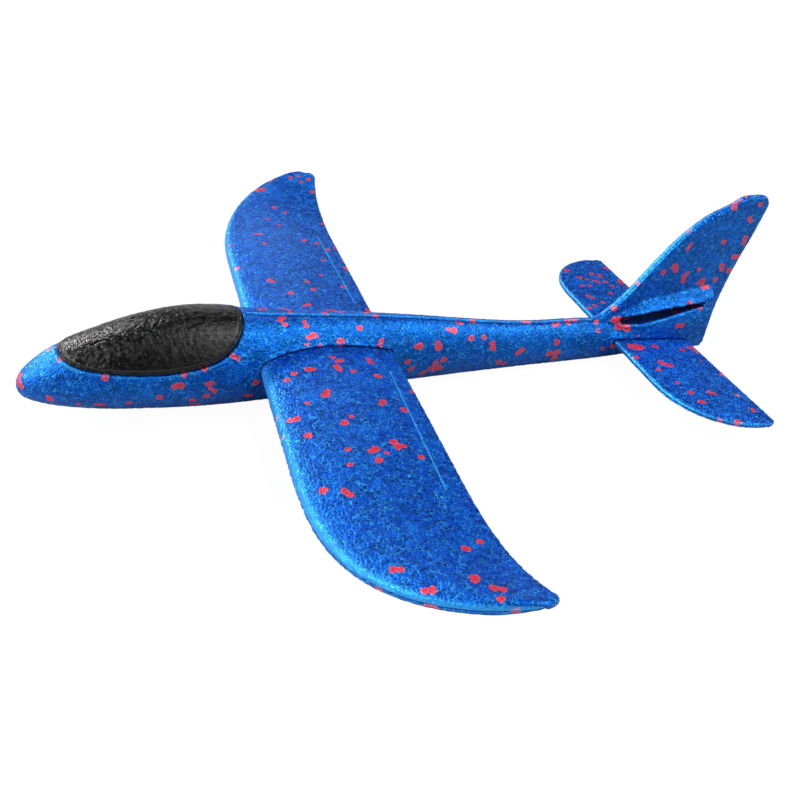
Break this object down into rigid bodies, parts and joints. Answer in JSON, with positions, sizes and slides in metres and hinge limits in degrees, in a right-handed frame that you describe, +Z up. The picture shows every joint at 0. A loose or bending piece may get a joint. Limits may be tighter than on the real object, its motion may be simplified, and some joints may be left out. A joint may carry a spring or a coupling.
{
  "type": "foam glider toy airplane",
  "caption": "Hand-launched bead-foam toy glider: one-piece fuselage with fin, a wing and a tailplane pushed through side slots, and a black canopy plug over nose ballast.",
  "frame": {"origin": "on the flat belly land, straight under the middle of the wing root chord", "axes": "+X to the nose, +Y to the pilot's left, +Z up"},
  "size_m": [0.4887, 0.48, 0.117],
  "materials": {
    "hull_foam": "satin bead foam, royal blue with scattered coral-red beads",
    "wing_foam": "satin bead foam, royal blue with scattered coral-red beads",
    "canopy_foam": "wrinkled black bead foam, low sheen",
    "ballast": "zinc-plated steel"
  },
  "bodies": {
    "airframe": {"fuselage": "hull_foam", "nose_ballast": "ballast"},
    "canopy_plug": {"canopy": "canopy_foam"},
    "main_wing": {"wing": "wing_foam"},
    "stabiliser": {"tailplane": "wing_foam"}
  },
  "joints": [
    {"name": "wing_slide", "type": "slide", "parent": "airframe", "child": "main_wing", "axis": [0, 1, 0], "range_m": [-0.1, 0.1]},
    {"name": "tailplane_slide", "type": "slide", "parent": "airframe", "child": "stabiliser", "axis": [0, 1, 0], "range_m": [-0.135, 0.135]},
    {"name": "canopy_lift", "type": "slide", "parent": "airframe", "child": "canopy_plug", "axis": [0, 0, 1], "range_m": [0, 0.035]}
  ]
}
